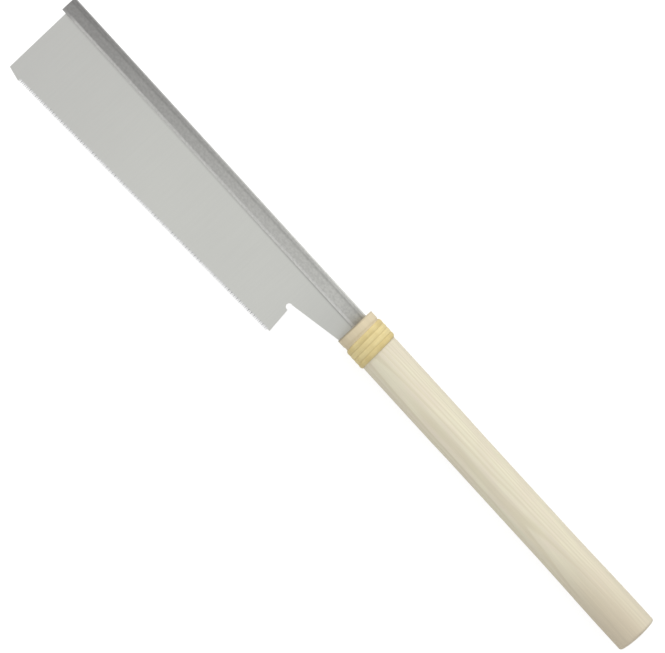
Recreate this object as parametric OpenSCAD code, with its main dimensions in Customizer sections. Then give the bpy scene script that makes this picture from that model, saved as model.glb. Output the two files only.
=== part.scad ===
// Dozuki: a pull saw with a thin plate, a folded steel spine and a round wooden handle bound with rattan.
// The saw lies flat. X runs from the butt of the handle to the toe of the blade, along the handle's axis,
// Y points to the teeth, and the plate lies in the plane Z = 0. The origin is the centre of the butt's face.

/* [Handle] */
// Length of the handle, butt to mouth
handle_length = 272; // [230:1:330]
// Radius of the straight stretch at the butt
butt_radius = 14.6; // [13.5:0.1:18]
// Length of that straight stretch, past the rounded edge
butt_straight = 16; // [8:1:30]
// Radius of the flat in the middle of the butt's end
butt_flat = 5; // [2:0.5:8]
// Radius of the crown from that flat to the rounded edge
butt_crown = 36; // [20:1:80]
// Rounding of the butt's edge
butt_rounding = 2; // [0.5:0.1:4]
// Radius of the grip at the waist
waist_radius = 14; // [13.5:0.1:16]
// Where the waist begins, from the butt
waist_start = 85; // [60:1:90]
// Where the waist ends, from the butt
waist_end = 160; // [120:1:200]
// Radius of the wood behind the binding
neck_radius = 14.2; // [13.5:0.1:17]
// Length over which the waist swells to the neck
neck_run = 30; // [10:1:50]
// Radius of the stub in front of the binding
stub_radius = 14.5; // [14.5:0.05:17]
// Rounding of the mouth's rim
mouth_rounding = 0.4; // [0.1:0.05:0.5]

/* [Plate] */
// Length of the lower edge, heel to toe corner
edge_length = 240; // [180:1:270]
// Thickness of the plate
plate_thickness = 0.3; // [0.2:0.05:0.6]
// Distance from the mouth to the heel's end of the tooth line, along the saw
heel_setback = 34.5; // [25:0.5:50]
// Depth of the tooth line below the handle's axis, at the heel
heel_depth = 44.2; // [35:0.1:60]
// Slope of the tooth line to the spine, in degrees
tooth_line_angle = 2.35; // [0:0.05:5]
// Lean of the heel's edge, in degrees
heel_lean = 6.9; // [0:0.1:15]
// Lean of the toe's edge, in degrees
toe_lean = 1.1; // [0:0.1:5]
// Radius of the round relief where the heel meets the tang
relief_radius = 2.2; // [1:0.1:3]
// How far the relief bites into the tang's lower edge
relief_bite = 0.2; // [0.1:0.05:0.5]
// How far the relief's centre lies in from the heel's edge
relief_inset = 0.6; // [0:0.1:0.8]

/* [Teeth] */
// Pitch of the teeth
tooth_pitch = 1.3; // [0.8:0.05:3]
// Height of the teeth
tooth_height = 2.3; // [0.5:0.05:2.6]
// Steepness of the cutting face, which looks towards the handle, in degrees
tooth_face_angle = 76; // [65:1:88]
// Length without teeth at the toe
toe_plain = 10.5; // [4:0.5:20]
// How far the corner of that stretch lies above the tooth line
toe_relief = 2.7; // [1:0.1:3]
// Least length without teeth at the heel
heel_plain = 1.5; // [0.5:0.1:6]
// How far that stretch lies above the tooth line
heel_relief = 1.4; // [0:0.1:2]

/* [Tang] */
// Length of the tang inside the handle
tang_length = 52; // [40:1:60]
// Depth of the tang's lower edge below the handle's axis, at the mouth
tang_depth = 13.7; // [12:0.1:13.8]
// Slope of the tang's lower edge, in degrees
tang_angle = 10.6; // [5:0.1:12]
// Rounding of the tang's end corners
tang_rounding = 2; // [0.5:0.1:3]

/* [Spine] */
// Height of the spine's top above the handle's axis
spine_rise = 10.1; // [9:0.1:11]
// Height of the spine
spine_height = 11.5; // [9:0.1:14]
// Thickness of the spine
spine_thickness = 3.6; // [2.4:0.1:4.4]
// Height of the bevel along the spine's lower edge
spine_bevel = 1.9; // [0.5:0.1:3]
// Thickness of each lip where it pinches the plate
spine_lip = 0.45; // [0.2:0.05:0.9]
// Depth of steel over the plate's upper edge
spine_crown = 3; // [2:0.1:4]
// How far the spine reaches past the plate's toe
spine_overhang = 3.2; // [0:0.1:8]
// Length of bare tang behind the spine's end
tang_bare = 10; // [6:1:16]

/* [Socket] */
// Thickness of the socket's sheet
socket_sheet = 0.8; // [0.5:0.1:1.2]
// Width of each turned-out flange, which keeps the socket in the wood
socket_flange = 2.5; // [1:0.1:4]
// Depth of the socket's front end behind the mouth
socket_setback = 2; // [1:0.1:4]
// Room behind the spine's end inside the socket
socket_tail = 4; // [1:0.5:6]

/* [Binding] */
// Turns of the rattan strip
binding_turns = 4; // [2:1:8]
// Pitch of the turns
binding_pitch = 3.9; // [3.9:0.1:5]
// Width of the strip
strip_width = 3.4; // [2.5:0.1:3.4]
// Thickness of the strip
strip_thickness = 1.2; // [1:0.1:2]
// Distance from the mouth to the middle of the first turn
binding_setback = 7.6; // [6:0.1:12]
// Radius of the wood under the strip
seat_radius = 14.1; // [13.5:0.1:14.5]
// Inner radius of the bend at each strip end
strip_bend = 0.9; // [0.5:0.1:1.2]
// Length of each strip end in the wood
strip_tuck = 3.4; // [3.4:0.1:5]

/* [Fits] */
// Clearance of the spine in the socket, each side
grip_clearance = 0.05; // [0.02:0.01:0.1]
// Clearance of the blade in the wood, each side
slot_clearance = 0.1; // [0.05:0.01:0.2]
// Clearance of the socket in its bed
bed_clearance = 0.05; // [0.02:0.01:0.1]
// Clearance of the strip on its seat and in its holes
strip_clearance = 0.05; // [0.02:0.01:0.1]

/* [Hidden] */
$fn = 64;

// Extra length of a cut past the face that it opens
past = 1;
steel = [0.77, 0.77, 0.75];
spine_steel = [0.62, 0.62, 0.6];
socket_steel = [0.5, 0.5, 0.5];
softwood = [0.87, 0.84, 0.75];
rattan = [0.86, 0.78, 0.55];

// The handle's outline eases from one radius to the next in this many steps
ease_steps = 10;
// Steps of a rounded edge on an outline
rounding_steps = 6;

// The mouth of the handle, where the blade goes in
mouth_x = handle_length;

// The spine's cross-section: Y of its top, of its fold's centre, of its lower edge and of the plate inside it
spine_top = -spine_rise;
spine_fold_y = spine_top + spine_thickness / 2;
spine_bottom = spine_top + spine_height;
plate_top = spine_top + spine_crown;
spine_lip_half = plate_thickness / 2 + spine_lip;
// Length of the spine inside the handle
spine_insert = tang_length - tang_bare;

// The plate's edges and corners, in X from the mouth
function tooth_line_y(x) = heel_depth + (x - heel_setback) * tan(tooth_line_angle);
function tang_y(x) = tang_depth + x * tan(tang_angle);
toe_corner_x = heel_setback + edge_length * cos(tooth_line_angle);
toe_corner_y = tooth_line_y(toe_corner_x) - toe_relief;
toe_top_x = toe_corner_x + (toe_corner_y - plate_top) * tan(toe_lean);
tang_end_y = tang_y(-tang_length);

// Where the heel's edge and the tang's lower edge would meet
heel_edge_run = (heel_depth - tang_depth) * tan(heel_lean);
tang_corner_x = (heel_setback + heel_edge_run) / (1 + tan(tang_angle) * tan(heel_lean));
tang_corner = [tang_corner_x, tang_y(tang_corner_x)];
// The relief is centred a little in from the heel's edge, and a little less than its radius from the tang's
relief_centre = tang_corner
    + (relief_radius - relief_bite) * [-sin(heel_lean), cos(heel_lean)]
    + relief_inset * [cos(heel_lean), sin(heel_lean)];

// The row of teeth, counted from the toe
toothed_length = edge_length - toe_plain - heel_plain;
tooth_count = floor(toothed_length / tooth_pitch);
tooth_face_run = tooth_height / tan(tooth_face_angle);

// A point on the tooth line, measured from the first tooth towards the heel and up into the plate
function tooth_point(along, up) =
    let (x = toe_corner_x - (toe_plain + along) * cos(tooth_line_angle))
    [x + up * sin(tooth_line_angle), tooth_line_y(x) - up * cos(tooth_line_angle)];

// Each tooth's tip and the gullet behind it, from the heel to the toe
tooth_row = [
    for (i = [tooth_count - 1 : -1 : 0])
        each [
            tooth_point((i + 1) * tooth_pitch - tooth_face_run, 0),
            tooth_point(i * tooth_pitch, tooth_height)
        ]
];

// The tang's outline inside the handle, wider by a gap
module tang_outline(gap = 0) {
    polygon([
        [past, plate_top - gap],
        [past, tang_y(past) + gap],
        [-tang_length - gap, tang_end_y + gap],
        [-tang_length - gap, plate_top - gap]
    ]);
}

// What a rounded corner takes away, where two edges leave the corner in these directions
module corner_cut(corner, first_edge, second_edge, radius) {
    inward = (first_edge + second_edge) / norm(first_edge + second_edge);
    half_angle = acos(inward * first_edge);
    tangent_run = radius / tan(half_angle);
    centre = corner + inward * radius / sin(half_angle);
    difference() {
        polygon([
            corner + tangent_run * first_edge,
            corner - past * inward,
            corner + tangent_run * second_edge,
            centre
        ]);
        translate(centre)
            circle(radius);
    }
}

module tang_corner_cuts() {
    corner_cut([-tang_length, plate_top], [1, 0], [0, 1], tang_rounding);
    corner_cut([-tang_length, tang_end_y], [0, -1], [cos(tang_angle), sin(tang_angle)], tang_rounding);
}

module blade_plate() {
    outline = concat(
        [
            [-tang_length, plate_top],
            [-tang_length, tang_end_y],
            tang_corner,
            [heel_setback + heel_relief * tan(heel_lean), heel_depth - heel_relief],
            tooth_point(tooth_count * tooth_pitch, heel_relief),
            tooth_point(tooth_count * tooth_pitch, tooth_height)
        ],
        tooth_row,
        [
            tooth_point(0, 0),
            [toe_corner_x, toe_corner_y],
            [toe_top_x, plate_top]
        ]
    );
    color(steel)
        translate([mouth_x, 0, -plate_thickness / 2])
            linear_extrude(plate_thickness)
                difference() {
                    polygon(outline);
                    translate(relief_centre)
                        circle(relief_radius);
                    tang_corner_cuts();
                }
}

// Stretches a cross-section, drawn in Y and Z, from one X to another, both counted from the mouth
module along_saw(from, to) {
    translate([mouth_x + from, 0, 0])
        rotate([90, 0, 90])
            linear_extrude(to - from)
                children();
}

// The spine's outside: a round fold, flat sides and a bevel down to the lips
module spine_outline(gap = 0) {
    half = spine_thickness / 2 + gap;
    bevel_y = spine_bottom - spine_bevel;
    translate([spine_fold_y, 0])
        circle(half);
    polygon([
        [spine_fold_y, -half],
        [bevel_y + gap, -half],
        [spine_bottom + gap, -spine_lip_half - gap],
        [spine_bottom + gap, spine_lip_half + gap],
        [bevel_y + gap, half],
        [spine_fold_y, half]
    ]);
}

module spine() {
    color(spine_steel)
        along_saw(-spine_insert, toe_top_x + spine_overhang)
            difference() {
                spine_outline();
                translate([plate_top, -plate_thickness / 2])
                    square([spine_height, plate_thickness]);
            }
}

// The socket's legs end just above the spine's bevel, where its flanges turn out
socket_leg_end = spine_bottom - spine_bevel;
socket_inner_half = spine_thickness / 2 + grip_clearance;
socket_outer_half = socket_inner_half + socket_sheet;
socket_front = -socket_setback;
socket_rear = -spine_insert - socket_tail;

// The socket's outside: a fold over the spine and two flanges
module socket_outline(gap = 0) {
    half = socket_outer_half + gap;
    flange_half = half + socket_flange;
    translate([spine_fold_y, 0])
        circle(half);
    translate([spine_fold_y, -half])
        square([socket_leg_end - spine_fold_y + gap, 2 * half]);
    translate([socket_leg_end - socket_sheet - gap, -flange_half])
        square([socket_sheet + 2 * gap, 2 * flange_half]);
}

module blade_socket() {
    color(socket_steel)
        along_saw(socket_rear, socket_front)
            difference() {
                socket_outline();
                translate([spine_fold_y, 0])
                    circle(socket_inner_half);
                translate([spine_fold_y, -socket_inner_half])
                    square([spine_height, 2 * socket_inner_half]);
            }
}

// Points that ease from one radius to another along the handle
function ease(x0, r0, x1, r1) = [
    for (i = [0 : ease_steps])
        let (t = i / ease_steps)
        [r0 + (r1 - r0) * (1 - cos(180 * t)) / 2, x0 + (x1 - x0) * t]
];

// The wood under the binding reaches a strip's clearance past its first and last turn
seat_margin = strip_width / 2 + strip_clearance;
seat_front = mouth_x - binding_setback + seat_margin;
seat_rear = mouth_x - binding_setback - binding_turns * binding_pitch - seat_margin;

// How far the crown leans where it meets the rounded edge, and X where that edge meets the straight stretch
crown_angle = asin((butt_radius - butt_rounding - butt_flat) / (butt_crown - butt_rounding));
butt_shoulder = butt_crown - (butt_crown - butt_rounding) * cos(crown_angle);

// The handle's outline, as radius and X, from the butt to the mouth
function handle_outline() = concat(
    [[0, 0]],
    [
        for (i = [0 : rounding_steps])
            let (a = crown_angle * i / rounding_steps)
            [butt_flat + butt_crown * sin(a), butt_crown * (1 - cos(a))]
    ],
    [
        for (i = [1 : rounding_steps])
            let (a = crown_angle + (90 - crown_angle) * i / rounding_steps)
            [butt_radius - butt_rounding * (1 - sin(a)), butt_shoulder - butt_rounding * cos(a)]
    ],
    ease(butt_shoulder + butt_straight, butt_radius, waist_start, waist_radius),
    ease(waist_end, waist_radius, waist_end + neck_run, neck_radius),
    [
        [neck_radius, seat_rear],
        [seat_radius, seat_rear],
        [seat_radius, seat_front],
        [stub_radius, seat_front]
    ],
    [
        for (i = [0 : rounding_steps])
            let (a = 90 * i / rounding_steps)
            [
                stub_radius - mouth_rounding * (1 - cos(a)),
                mouth_x - mouth_rounding * (1 - sin(a))
            ]
    ],
    [[0, mouth_x]]
);

// Room in the wood for the spine, for the socket in its bed and for the tang
module blade_pocket() {
    along_saw(-spine_insert - slot_clearance, past)
        spine_outline(slot_clearance);
    along_saw(socket_rear - bed_clearance, socket_front + bed_clearance)
        socket_outline(bed_clearance);
    translate([mouth_x, 0, -plate_thickness / 2 - slot_clearance])
        linear_extrude(plate_thickness + 2 * slot_clearance)
            tang_outline(slot_clearance);
}

// Half of the handle, on the side of +Z
module handle_half() {
    difference() {
        rotate([0, 90, 0])
            rotate([0, 0, 90])
                rotate_extrude(angle = 180)
                    polygon(handle_outline());
        blade_pocket();
    }
}

// The strip's middle line: its radius over the seat, and the bend into each end hole
turn_rings = 24;
ring_step = 360 / turn_rings;
// The strip's flat inner face touches the seat at the middle of each step, not at the rings
strip_inner_radius = (seat_radius + strip_clearance) / cos(ring_step / 2);
strip_middle_radius = strip_inner_radius + strip_thickness / 2;
bend_radius = strip_bend + strip_thickness / 2;
bend_steps = 3;
// The winding starts and ends under the saw, at -Z
winding_start_angle = -90;
winding_end_angle = winding_start_angle + 360 * binding_turns;

// Directions in Y and Z at an angle of the winding, which goes from the spine's side over the top
function outward(angle) = [-cos(angle), sin(angle)];
function onward(angle) = [sin(angle), cos(angle)];

// A station of the strip: X, place in Y and Z, and the direction of its outer face
function turn_station(i) =
    let (angle = winding_start_angle + i * ring_step)
    [
        mouth_x - binding_setback - binding_pitch * i / turn_rings,
        strip_middle_radius * outward(angle),
        outward(angle)
    ];

// Stations of an end: the bend into the wood, then straight down. side is 1 at the last turn, -1 at the first
function end_stations(x, angle, side) =
    let (centre = (strip_middle_radius - bend_radius) * outward(angle))
    concat(
        [
            for (i = [1 : bend_steps])
                let (a = 90 * i / bend_steps)
                let (face = cos(a) * outward(angle) + side * sin(a) * onward(angle))
                [x, centre + bend_radius * face, face]
        ],
        [
            [
                x,
                centre + side * bend_radius * onward(angle) - strip_tuck * outward(angle),
                side * onward(angle)
            ]
        ]
    );

binding_front_x = mouth_x - binding_setback;
binding_rear_x = binding_front_x - binding_turns * binding_pitch;
front_end = end_stations(binding_front_x, winding_start_angle, -1);
rear_end = end_stations(binding_rear_x, winding_end_angle, 1);
strip_stations = concat(
    [for (i = [len(front_end) - 1 : -1 : 0]) front_end[i]],
    [for (i = [0 : binding_turns * turn_rings]) turn_station(i)],
    rear_end
);

// The strip's cross-section: a flat inner face and a crowned outer one, as X and height from its middle
strip_crown_share = 0.5;
strip_edge_share = 0.4;
strip_section = [
    [-strip_width / 2, -strip_thickness / 2],
    [-strip_width / 2, (strip_edge_share - 0.5) * strip_thickness],
    [-strip_crown_share * strip_width / 2, strip_thickness / 2],
    [strip_crown_share * strip_width / 2, strip_thickness / 2],
    [strip_width / 2, (strip_edge_share - 0.5) * strip_thickness],
    [strip_width / 2, -strip_thickness / 2]
];
section_count = len(strip_section);

function station_ring(s) = [
    for (p = strip_section)
        [s[0] + p[0], s[1][0] + p[1] * s[2][0], s[1][1] + p[1] * s[2][1]]
];
strip_rings = [for (s = strip_stations) station_ring(s)];
strip_points = [for (ring = strip_rings) each ring];
last_ring = len(strip_rings) - 1;

// Triangles of the skin between neighbouring rings, and of the two end caps
strip_faces = concat(
    [
        for (i = [0 : last_ring - 1])
            for (k = [0 : section_count - 1])
                let (a = i * section_count + k)
                let (b = i * section_count + (k + 1) % section_count)
                each [
                    [a, a + section_count, b],
                    [b, a + section_count, b + section_count]
                ]
    ],
    [for (k = [1 : section_count - 2]) [0, k, k + 1]],
    [
        for (k = [1 : section_count - 2])
            let (base = last_ring * section_count)
            [base, base + k + 1, base + k]
    ]
);

// Least gap of the strip to itself, between rings that are at least half a turn apart
strip_gap = min([
    for (i = [0 : last_ring])
        for (j = [i + turn_rings / 2 : 1 : last_ring])
            for (p = strip_rings[i])
                for (q = strip_rings[j])
                    norm(p - q)
]);

module rattan_binding() {
    echo(strip_gap = strip_gap);
    color(rattan)
        polyhedron(strip_points, strip_faces);
}

// Holes in the wood for the strip's two ends, each closed by a floor that the end stands on
module strip_end_holes() {
    hole_width = strip_width + 2 * strip_clearance;
    hole_reach = bend_radius + strip_thickness / 2 + strip_clearance;
    hole_floor = strip_middle_radius - bend_radius - strip_tuck;
    for (corner = [[binding_front_x, 0], [binding_rear_x, -hole_reach]])
        translate([corner[0] - hole_width / 2, corner[1], -stub_radius])
            cube([hole_width, hole_reach, stub_radius - hole_floor]);
}

module handle_left_half() {
    color(softwood)
        handle_half();
}

module handle_right_half() {
    color(softwood)
        difference() {
            mirror([0, 0, 1])
                handle_half();
            strip_end_holes();
        }
}

blade_plate();
spine();
blade_socket();
handle_left_half();
handle_right_half();
rattan_binding();
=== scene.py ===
"""Dozuki: a pull saw with a thin toothed plate, a folded steel spine and a handle bound with rattan.

Every size is in metres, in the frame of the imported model: X runs from the butt to the toe along the handle's
axis, Y points to the teeth, and the plate lies in the plane Z = 0.
"""

import logging
import math
from collections.abc import Callable, Iterator
from contextlib import contextmanager
from dataclasses import dataclass
from enum import Enum
from typing import ClassVar

import bmesh
import bpy
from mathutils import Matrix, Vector


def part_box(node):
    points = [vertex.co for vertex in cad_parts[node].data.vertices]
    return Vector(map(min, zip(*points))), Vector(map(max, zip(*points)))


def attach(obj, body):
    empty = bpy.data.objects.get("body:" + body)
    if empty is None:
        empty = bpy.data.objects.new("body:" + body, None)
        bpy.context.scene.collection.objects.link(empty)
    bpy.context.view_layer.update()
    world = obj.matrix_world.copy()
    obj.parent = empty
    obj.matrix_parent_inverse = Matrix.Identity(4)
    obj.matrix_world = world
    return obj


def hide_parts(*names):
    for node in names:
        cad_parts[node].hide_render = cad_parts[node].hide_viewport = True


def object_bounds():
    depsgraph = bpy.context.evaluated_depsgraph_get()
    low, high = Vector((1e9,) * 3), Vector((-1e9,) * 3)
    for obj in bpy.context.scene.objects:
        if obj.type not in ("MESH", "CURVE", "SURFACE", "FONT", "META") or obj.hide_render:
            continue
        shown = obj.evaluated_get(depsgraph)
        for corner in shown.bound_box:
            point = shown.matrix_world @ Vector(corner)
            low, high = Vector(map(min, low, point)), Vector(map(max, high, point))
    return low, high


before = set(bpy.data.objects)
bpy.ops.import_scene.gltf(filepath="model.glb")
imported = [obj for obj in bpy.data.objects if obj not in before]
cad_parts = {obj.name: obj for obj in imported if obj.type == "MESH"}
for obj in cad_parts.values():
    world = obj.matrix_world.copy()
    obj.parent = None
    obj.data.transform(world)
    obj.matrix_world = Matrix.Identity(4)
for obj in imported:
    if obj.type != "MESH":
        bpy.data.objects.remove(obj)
CAD_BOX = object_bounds()
LOG = logging.getLogger("dozuki")

# Vertices closer than this are one vertex
TOUCH = 2e-6
# The same on the plate's sheet, where a row of copied teeth meets a drawn outline
SHEET_TOUCH = 2 * TOUCH
# A vertex closer than this to a place counts as lying there
NEAR = 5 * TOUCH
# How far a cutting tool reaches past the face that it opens
PAST = 0.001
# Steps of the fold of a bar, and the profile that makes it round
FOLD_STEPS = 12
ROUND_PROFILE = 0.5
# The plate's attributes that mark the filed faces of its teeth and their bent sides
FILED_FACES = "filed"
BENT_FACES = "bent"

Piece = bpy.types.Object
Edge = bmesh.types.BMEdge
Material = bpy.types.Material
Socket = bpy.types.NodeSocket
Pair = tuple[float, float]
Triple = tuple[float, float, float]
Colour = Triple
Value = Socket | float
Tone = Socket | Colour
Test = Callable[[Vector], bool]

NO_SHIFT: Triple = (0.0, 0.0, 0.0)
UNSTRETCHED: Triple = (1.0, 1.0, 1.0)
# Nearly all of a cloudy pattern lies between these two values
PATTERN_SPAN: Pair = (0.3, 0.7)


class Body(Enum):
    """The two bodies of the saw: the handle, and the blade that draws out of it."""

    HANDLE = "handle"
    BLADE = "blade"


class Side(Enum):
    """The side of the blade's plane that a half of the handle lies on, as the sign of its Z."""

    LEFT = 1
    RIGHT = -1


class Brushing(Enum):
    """How the grinding lines of a steel surface run, as the stretch of its pattern along X, Y and Z."""

    ALONG = (0.008, 1.0, 1.0)
    ACROSS = (1.0, 0.03, 1.0)


class Detail(Enum):
    """How many times a cloudy pattern is refined."""

    SOFT = 2.0
    PLAIN = 3.0
    FINE = 4.0


# Modelling by operators


def deselect_everything() -> None:
    """Leaves edit mode and deselects every object."""
    if bpy.context.mode != "OBJECT":
        bpy.ops.object.mode_set(mode="OBJECT")
    bpy.ops.object.select_all(action="DESELECT")


def take_up(piece: Piece) -> None:
    """Selects one piece alone and makes it the active one.

    Args:
        piece: The object.
    """
    deselect_everything()
    piece.select_set(True)
    bpy.context.view_layer.objects.active = piece


def settle(name: str) -> Piece:
    """Names the object that was just added and moves its place and size into its mesh.

    Args:
        name: The object's new name.

    Returns:
        The object, at the origin, unturned and unscaled.
    """
    piece = bpy.context.active_object
    piece.name = name
    piece.data.name = name
    bpy.ops.object.transform_apply(location=True, rotation=True, scale=True)
    return piece


@contextmanager
def editing(piece: Piece) -> Iterator[None]:
    """Opens a piece in edit mode with nothing selected, and closes it again.

    Args:
        piece: The object to edit.

    Yields:
        Nothing. The piece is open until the block ends.
    """
    take_up(piece)
    bpy.ops.object.mode_set(mode="EDIT")
    bpy.ops.mesh.select_mode(type="VERT")
    bpy.ops.mesh.select_all(action="DESELECT")
    yield
    bpy.ops.object.mode_set(mode="OBJECT")


def choose(piece: Piece, test: Test) -> None:
    """Selects the vertices that a test picks by their place, and nothing else.

    Args:
        piece: The object in edit mode.
        test: Says of a vertex's place whether it is picked.
    """
    bpy.ops.mesh.select_mode(type="VERT")
    bpy.ops.mesh.select_all(action="DESELECT")
    form = bmesh.from_edit_mesh(piece.data)
    for vert in form.verts:
        if test(vert.co):
            vert.select_set(True)
    form.select_flush_mode()
    bmesh.update_edit_mesh(piece.data)


def choose_edges(piece: Piece, test: Callable[[Edge], bool]) -> None:
    """Selects the edges that a test picks, and nothing else.

    Args:
        piece: The object in edit mode.
        test: Says of an edge whether it is picked.
    """
    bpy.ops.mesh.select_mode(type="EDGE")
    bpy.ops.mesh.select_all(action="DESELECT")
    form = bmesh.from_edit_mesh(piece.data)
    for edge in form.edges:
        if test(edge):
            edge.select_set(True)
    bmesh.update_edit_mesh(piece.data)


def near(place: Vector) -> Test:
    """A test for vertices at one place."""
    return lambda co: (co - place).length < NEAR


def shift(way: Vector) -> None:
    """Moves what is selected."""
    bpy.ops.transform.translate(value=way)


def extrude(way: Vector) -> None:
    """Extrudes what is selected, and leaves the new end selected."""
    bpy.ops.mesh.extrude_region_move(TRANSFORM_OT_translate={"value": way})


def trace(points: list[Vector]) -> None:
    """Draws edges through points, from the selected vertex, which lies at the first of them."""
    for start, end in zip(points, points[1:]):
        extrude(end - start)


def merge_all(distance: float) -> None:
    """Merges all vertices of the piece in edit mode that are closer than a distance."""
    bpy.ops.mesh.select_all(action="SELECT")
    bpy.ops.mesh.remove_doubles(threshold=distance)


def close_up(piece: Piece) -> None:
    """Merges vertices that touch and turns every face outwards.

    Args:
        piece: The object.
    """
    with editing(piece):
        merge_all(TOUCH)
        bpy.ops.mesh.normals_make_consistent(inside=False)
        if bmesh.from_edit_mesh(piece.data).calc_volume(signed=True) < 0:
            bpy.ops.mesh.flip_normals()


def apply(piece: Piece, kind: str, **settings: object) -> None:
    """Puts a modifier on a piece and applies it.

    Args:
        piece: The object.
        kind: The modifier's type.
        settings: Values of its fields.
    """
    take_up(piece)
    modifier = piece.modifiers.new(kind.lower(), kind)
    for setting, value in settings.items():
        setattr(modifier, setting, value)
    bpy.ops.object.modifier_apply(modifier=modifier.name)


def cut(piece: Piece, tool: Piece) -> None:
    """Cuts a tool's shape out of a piece and removes the tool."""
    apply(piece, "BOOLEAN", operation="DIFFERENCE", solver="EXACT", object=tool)
    bpy.data.objects.remove(tool)


def smooth(piece: Piece, angle: float) -> None:
    """Shades a piece smooth across edges that bend less than an angle."""
    take_up(piece)
    bpy.ops.object.shade_smooth_by_angle(angle=angle)


def add_box(name: str, low: Vector, high: Vector) -> Piece:
    """Adds a box between two corners.

    Args:
        name: Name of the object.
        low: Its lowest corner.
        high: Its highest corner.

    Returns:
        The box.
    """
    deselect_everything()
    bpy.ops.mesh.primitive_cube_add(size=1.0, location=(low + high) / 2, scale=high - low)
    return settle(name)


def draw_line(name: str, points: list[Vector]) -> Piece:
    """Draws a line of edges through points.

    Args:
        name: Name of the object.
        points: The points in order. Where the last one is the first again, the line is closed.

    Returns:
        The line as an object.
    """
    deselect_everything()
    bpy.ops.mesh.primitive_plane_add(size=1.0)
    line = settle(name)
    with editing(line):
        bpy.ops.mesh.select_all(action="SELECT")
        bpy.ops.mesh.merge(type="CENTER")
        shift(points[0])
        trace(points)
        merge_all(TOUCH)
    return line


def add_quad(name: str, corners: list[Vector]) -> Piece:
    """Adds a flat face with four corners.

    Args:
        name: Name of the object.
        corners: Its corners, in order round the face.

    Returns:
        The face as an object.
    """
    deselect_everything()
    bpy.ops.mesh.primitive_plane_add(size=2.0)
    quad = settle(name)
    starts = [Vector((x, y, 0)) for x, y in ((-1, -1), (1, -1), (1, 1), (-1, 1))]
    with editing(quad):
        for start, corner in zip(starts, corners):
            choose(quad, near(start))
            shift(corner - start)
    return quad


def add_folded_bar(name: str, low: Vector, high: Vector, bevel: float, lip: float) -> Piece:
    """Makes a bar along X with a round fold at its lowest Y and a bevel down to two lips at its highest.

    Args:
        name: Name of the object.
        low: The bar's lowest corner.
        high: Its highest corner. The bar's depth along Z sets the fold's radius.
        bevel: Height of the bevel, or 0 for square lower edges.
        lip: Depth of the bar along Z at the foot of the bevel.

    Returns:
        The bar.
    """
    bar = add_box(name, low, high)
    depth = high.z - low.z

    def on_top(edge: Edge) -> bool:
        """Picks the two long edges at the lowest Y."""
        one, other = (vert.co for vert in edge.verts)
        return max(one.y, other.y) < low.y + TOUCH and abs(one.x - other.x) > depth

    with editing(bar):
        choose_edges(bar, on_top)
        bpy.ops.mesh.bevel(
            offset=depth / 2,
            segments=FOLD_STEPS,
            profile=ROUND_PROFILE,
            affect="EDGES",
            clamp_overlap=False,
        )
        if bevel > 0:
            bpy.ops.mesh.select_all(action="SELECT")
            bpy.ops.mesh.bisect(plane_co=(0, high.y - bevel, 0), plane_no=(0, 1, 0), threshold=TOUCH)
            choose(bar, lambda co: co.y > high.y - TOUCH)
            middle = (0, high.y, (low.z + high.z) / 2)
            bpy.ops.transform.resize(value=(1, 1, lip / depth), center_override=middle)
    close_up(bar)
    return bar


# The finishes


@dataclass(frozen=True)
class Pattern:
    """A cloudy pattern: the size of its largest spots, its stretch along the axes and its detail.

    A small factor of the stretch draws the pattern out along that axis.
    """

    size: float
    stretch: Triple
    detail: Detail


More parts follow.
